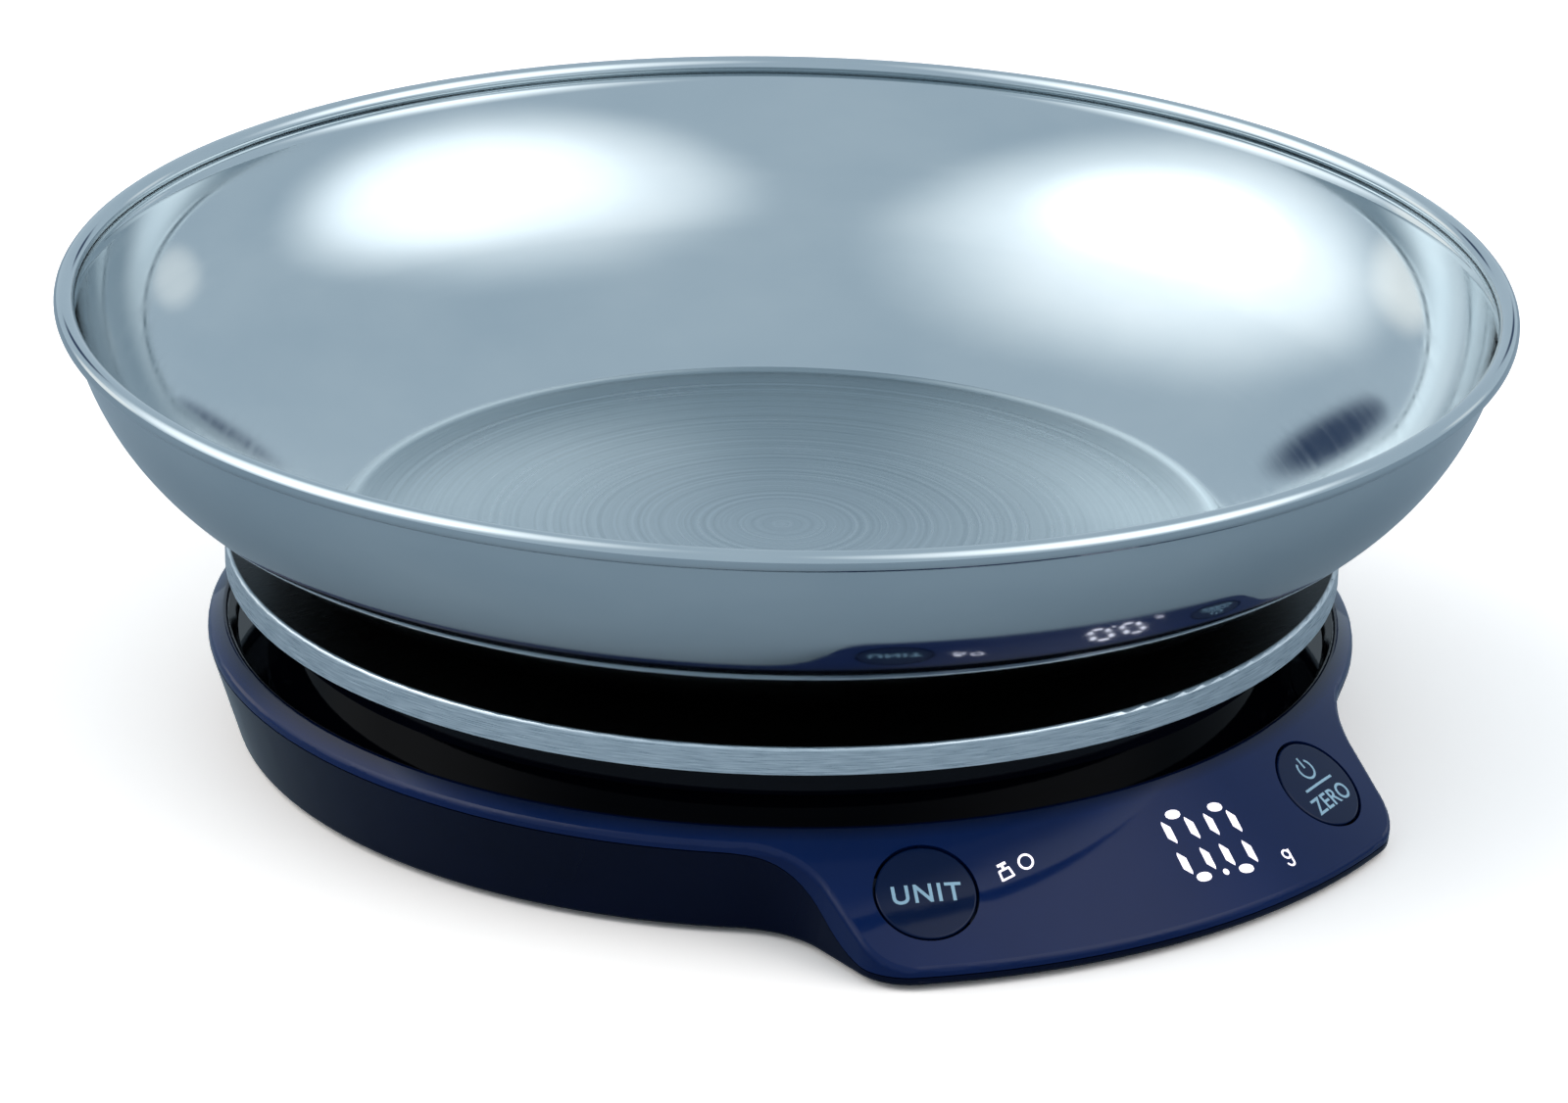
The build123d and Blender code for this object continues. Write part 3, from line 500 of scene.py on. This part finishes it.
def strokeRing(centre, radius, width, start, end, steps=48):
    # band between two concentric arcs: place = centre + (radius +- half the width) (cos a, sin a)
    angles = np.linspace(math.radians(start), math.radians(end), steps)
    ways = np.stack([np.cos(angles), np.sin(angles)], 1)
    inner = np.array(centre) + ways * (radius - width / 2)
    outer = np.array(centre) + ways * (radius + width / 2)
    flat = np.concatenate([inner, outer])
    i = np.arange(steps - 1)
    faces = np.stack([i, i + steps, i + steps + 1, i + 1], 1).tolist()
    return flat, faces


def bar(start, end, width, tip=1.0, steps=9):
    # stroke of half width = width / 2 * (tip + (1 - tip) * sin(pi t) ** 0.5) on each side; a tip
    # of 1 leaves it straight
    start, end = np.array(start, float), np.array(end, float)
    t = np.linspace(0, 1, steps)
    way = (end - start) / np.linalg.norm(end - start)
    side = np.array((-way[1], way[0]))
    half = width / 2 * (tip + (1 - tip) * np.sqrt(np.clip(np.sin(np.pi * t), 0, 1)))
    middle = start + np.outer(t, end - start)
    flat = np.concatenate([middle + side * half[:, None], middle - side * half[:, None]])
    i = np.arange(steps - 1)
    faces = np.stack([i, i + steps, i + steps + 1, i + 1], 1).tolist()
    return flat, faces


def segment(start, end, width, skew=0.36, chamfer=0.55):
    # six-sided lit bar: each end comes to a tip, one tip off to either side by skew * width
    start, end = np.array(start, float), np.array(end, float)
    way = (end - start) / np.linalg.norm(end - start)
    side = np.array((-way[1], way[0])) * width
    long, short = way * width * chamfer * 1.6, way * width * chamfer * 0.6
    flat = np.array([
        start - side * skew, start + long + side * 0.5, end - short + side * 0.5,
        end + side * skew, end - long - side * 0.5, start + short - side * 0.5,
    ])
    return flat, [[0, 1, 2, 3, 4, 5]]


def joined(shapes):
    # one list of places and faces, each shape's corners numbered on from the last
    flats, faces, shift = [], [], 0
    for flat, quads in shapes:
        flats.append(flat)
        faces += [[v + shift for v in quad] for quad in quads]
        shift += len(flat)
    return np.concatenate(flats), faces


unitStyle = {"height": 3.15 * mm, "weight": 0.022, "spacing": 1.16, "widen": 0.98}
zeroStyle = {"height": 2.9 * mm, "weight": 0.018, "spacing": 1.05, "widen": 0.96}
power = {
    "barLength": 8.2 * mm, "barWidth": 0.45 * mm, "stroke": 0.42 * mm, "zeroDrop": 3.0 * mm,
    "radius": 1.75 * mm, "lift": 3.1 * mm, "start": 128, "end": 412,
    "stemLow": 0.2 * mm, "stemHigh": 2.3 * mm,
}

unitLabel = lettering("unitLabel", "UNIT", unitStyle, -panel["keyAzimuth"], panel["keyRun"])
zeroLabel = lettering("zeroLabel", "ZERO", zeroStyle, panel["keyAzimuth"],
                      panel["keyRun"] + power["zeroDrop"])
half = power["barLength"] / 2
powerShapes = [
    bar((-half, 0), (half, 0), power["barWidth"]),
    strokeRing((0, power["lift"]), power["radius"], power["stroke"], power["start"], power["end"]),
    bar((0, power["lift"] + power["stemLow"]), (0, power["lift"] + power["stemHigh"]), power["stroke"]),
]
powerLabel = onPanel("powerLabel", *joined(powerShapes), panel["keyAzimuth"], panel["keyRun"])
for label, body in ((unitLabel, "unit_key"), (zeroLabel, "zero_key"), (powerLabel, "zero_key")):
    label.data.materials.append(materials["print"])
    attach(label, body)
print("key labels laid")


digits = {
    "firstAcross": 6.5 * mm, "pitch": 8.5 * mm, "topRun": 6.9 * mm, "bottomRun": 18.6 * mm,
    "halfWidth": 2.3 * mm, "stroke": 1.75 * mm, "slant": math.radians(2.5), "gap": 0.75 * mm,
    "capWidth": 0.62, "capStroke": 0.95, "capTip": 0.30, "sideStroke": 0.80, "endGap": 1.1,
    "dotAcross": 0.49, "dotRise": 0.05 * mm, "dotRadius": 0.28 * mm, "dotStroke": 0.56 * mm,
}


def zeroDigit(across):
    # a seven-segment 0: top and bottom short bulged bars, four slim side bars, middle unlit
    low, high = -digits["bottomRun"], -digits["topRun"]
    middle = (low + high) / 2
    w, g, end = digits["halfWidth"], digits["gap"], digits["gap"] * digits["endGap"]
    cap, side = digits["stroke"] * digits["capStroke"], digits["stroke"] * digits["sideStroke"]
    shapes = []
    for y in (high, low):
        reach = w * digits["capWidth"]
        shapes.append(bar((-reach, y), (reach, y), cap, digits["capTip"]))
    for x in (-w, w):
        shapes.append(segment((x, high - end), (x, middle + g), side))
        shapes.append(segment((x, middle - g), (x, low + end), side))
    flat, faces = joined(shapes)
    flat[:, 0] += across + (flat[:, 1] - middle) * math.tan(digits["slant"])
    return flat, faces


# the unit, a letter g drawn from a ring, a stem and a hook
gram = {
    "x": 23.9 * mm, "y": -16.9 * mm, "radius": 0.72 * mm, "stroke": 0.36 * mm, "stem": 0.74 * mm,
    "top": 0.95 * mm, "hook": 1.4 * mm, "hookShift": 0.02 * mm, "hookStart": 200,
}
# a ring and a balance weight; the weight's strokes are start, end and width, in millimetres
icons = {
    "level": -6.2 * mm, "ringX": -21.9 * mm, "ringDrop": 0.1 * mm, "ringRadius": 1.2 * mm,
    "ringStroke": 0.38 * mm, "weightX": -25.9 * mm,
    "weight": [
        ((-1.1, -1.3), (1.1, -1.3), 0.36), ((-1.0, 0.3), (1.0, 0.3), 0.36),
        ((-1.1, -1.4), (-0.9, 0.3), 0.36), ((1.1, -1.4), (0.9, 0.3), 0.36),
        ((-0.8, 1.25), (0.8, 1.25), 0.5), ((0, 0.4), (0, 1.1), 0.5),
    ],
}


def weightStroke(start, end, width):
    # corner = the icon's own place + the stroke's corner in millimetres
    ends = [(icons["weightX"] + x * mm, icons["level"] + y * mm) for x, y in (start, end)]
    return bar(*ends, width * mm)


gramX, gramY = gram["x"], gram["y"]
gramShapes = [
    strokeRing((gramX, gramY), gram["radius"], gram["stroke"], 0, 360),
    bar((gramX + gram["stem"], gramY + gram["top"]), (gramX + gram["stem"], gramY - gram["hook"]),
        gram["stroke"]),
    strokeRing((gramX + gram["hookShift"], gramY - gram["hook"]), gram["radius"], gram["stroke"],
               gram["hookStart"], 360),
]
zeroDigits = [zeroDigit(digits["firstAcross"]), zeroDigit(digits["firstAcross"] + digits["pitch"])]
dotPlace = (digits["firstAcross"] + digits["pitch"] * digits["dotAcross"],
            -digits["bottomRun"] + digits["dotRise"])
disc = strokeRing(dotPlace, digits["dotRadius"], digits["dotStroke"], 0, 360, 24)
ringIcon = strokeRing((icons["ringX"], icons["level"] - icons["ringDrop"]), icons["ringRadius"],
                      icons["ringStroke"], 0, 360)
weightIcon = [weightStroke(*stroke) for stroke in icons["weight"]]
litShapes = gramShapes + zeroDigits + [disc, ringIcon] + weightIcon
litMarks = onPanel("litMarks", *joined(litShapes))
litMarks.data.materials.append(materials["lit"])
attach(litMarks, "housing")
print("lit marks laid")


cameraSettings = {
    "azimuth": -35.8, "reach": 1.2105, "above": 0.481, "pitch": 21.84, "yaw": 0.017,
    "roll": 1.185, "lens": 180.0, "sensor": 36.0, "near": 0.05, "far": 20,
}


def makeCamera():
    # stands reach metres from the axis and above the platform, turned down by pitch, aside by
    # yaw and about its own line of sight by roll
    c = cameraSettings
    around = Matrix.Rotation(math.radians(c["azimuth"]), 3, "Z")
    pitch, yaw, roll = (math.radians(c[k]) for k in ("pitch", "yaw", "roll"))
    forward = Vector((math.sin(yaw) * math.cos(pitch), math.cos(yaw) * math.cos(pitch),
                      -math.sin(pitch)))
    level = Vector((math.cos(yaw), -math.sin(yaw), 0))
    upright = level.cross(forward)
    right = level * math.cos(roll) + upright * math.sin(roll)
    up = upright * math.cos(roll) - level * math.sin(roll)
    axes = Matrix((around @ right, around @ up, around @ -forward)).transposed()
    data = bpy.data.cameras.new("camera")
    data.lens = c["lens"]
    data.sensor_width = c["sensor"]
    data.clip_start = c["near"]
    data.clip_end = c["far"]
    camera = bpy.data.objects.new("camera", data)
    bpy.context.collection.objects.link(camera)
    place = around @ Vector((0, -c["reach"], c["above"] + platformTop))
    camera.matrix_world = Matrix.Translation(place) @ axes.to_4x4()
    bpy.context.scene.camera = camera


makeCamera()

# the floor's two colours: camera rays meet the seen one, which is above 1 so that it looks white,
# and all other rays, such as what the steel mirrors, meet the darker one
ground = {"half": 6, "seen": (1.42, 1.30, 1.22), "mirrored": (0.30, 0.355, 0.40)}


def makeFloor():
    # colour = seen where the ray comes from the camera, mirrored elsewhere
    mesh = bpy.data.meshes.new("floor")
    corners = [(x * ground["half"], y * ground["half"], 0) for x, y in ((-1, -1), (1, -1), (1, 1), (-1, 1))]
    mesh.from_pydata(corners, [], [(0, 1, 2, 3)])
    floor = bpy.data.objects.new("floor", mesh)
    bpy.context.collection.objects.link(floor)
    material = bpy.data.materials.new("paleFloor")
    material.use_nodes = True
    tree = material.node_tree
    tree.nodes.clear()
    paths = addNode(tree, "ShaderNodeLightPath")
    blend = addNode(tree, "ShaderNodeMixShader")
    tree.links.new(paths.outputs["Is Camera Ray"], blend.inputs[0])
    for socket, key in ((1, "mirrored"), (2, "seen")):
        diffuse = addNode(tree, "ShaderNodeBsdfDiffuse")
        diffuse.inputs["Color"].default_value = (*ground[key], 1)
        tree.links.new(diffuse.outputs[0], blend.inputs[socket])
    surface = addNode(tree, "ShaderNodeOutputMaterial")
    tree.links.new(blend.outputs[0], surface.inputs["Surface"])
    floor.data.materials.append(material)
    return floor


floor = makeFloor()

# an even studio dome with round soft lights: azimuth from the camera's side, elevation, half
# width of the full part and of the whole in degrees, colour and how bright its middle is
dome = {"colour": (0.56, 0.68, 0.78), "strength": 1.0}
softLights = {
    "rightLight": (64, 44, 16, 41, (1.0, 0.96, 0.92), 0.95),
    "leftLight": (-90, 40, 6, 46, (1.0, 0.97, 0.93), 1.35),
    "backRightFlat": (160, 17, 2, 6, (0.06, 0.09, 0.16), -1.0),
    "backLeftFlat": (-155, 23, 2, 7, (0.05, 0.08, 0.15), -1.0),
    "warmSide": (-126, 6, 4, 14, (1.0, 0.86, 0.70), 0.7),
    "warmFarSide": (128, 12, 2, 9, (1.0, 0.88, 0.74), 0.4),
    "rightGlint": (68, 40, 0, 30, (0.95, 0.98, 1.0), 0.6),
    "leftGlint": (-82, 38, 0, 26, (0.95, 0.98, 1.0), 0.9),
}


def makeDome():
    # each patch in turn, with f = its power's size * smoothstep(d . centre) as the dot of the
    # direction d runs from the cosine of the whole half width up to the cosine of the full
    # part's: a power above 0 gives light = light + f * colour, and one below 0 gives
    # light = (1 - f) * light + f * colour, which makes a flat dark card
    world = bpy.data.worlds.new("studio")
    world.use_nodes = True
    tree = world.node_tree
    background = tree.nodes["Background"]
    way = addNode(tree, "ShaderNodeTexCoord").outputs["Generated"]
    total = addNode(tree, "ShaderNodeRGB")
    total.outputs[0].default_value = (*dome["colour"], 1)
    total = total.outputs[0]
    for azimuth, elevation, full, spread, colour, power in softLights.values():
        turn = math.radians(cameraSettings["azimuth"] + azimuth)
        lean = math.radians(elevation)
        centre = (math.sin(turn) * math.cos(lean), -math.cos(turn) * math.cos(lean), math.sin(lean))
        dot = addNode(tree, "ShaderNodeVectorMath", operation="DOT_PRODUCT")
        dot.inputs[1].default_value = centre
        tree.links.new(way, dot.inputs[0])
        fade = addNode(tree, "ShaderNodeMapRange", interpolation_type="SMOOTHSTEP")
        fade.inputs["From Min"].default_value = math.cos(math.radians(spread))
        fade.inputs["From Max"].default_value = math.cos(math.radians(full))
        fade.inputs["To Max"].default_value = abs(power)
        tree.links.new(dot.outputs["Value"], fade.inputs["Value"])
        kind = "ADD" if power > 0 else "MIX"
        blend = addNode(tree, "ShaderNodeMix", data_type="RGBA", blend_type=kind)
        blend.inputs["B"].default_value = (*colour, 1)
        tree.links.new(fade.outputs["Result"], blend.inputs["Factor"])
        blend.clamp_factor = False
        tree.links.new(total, blend.inputs["A"])
        total = blend.outputs["Result"]
    tree.links.new(total, background.inputs["Color"])
    background.inputs["Strength"].default_value = dome["strength"]
    bpy.context.scene.world = world


makeDome()
bpy.context.scene.view_settings.view_transform = "Standard"
print("camera, floor and lights set")
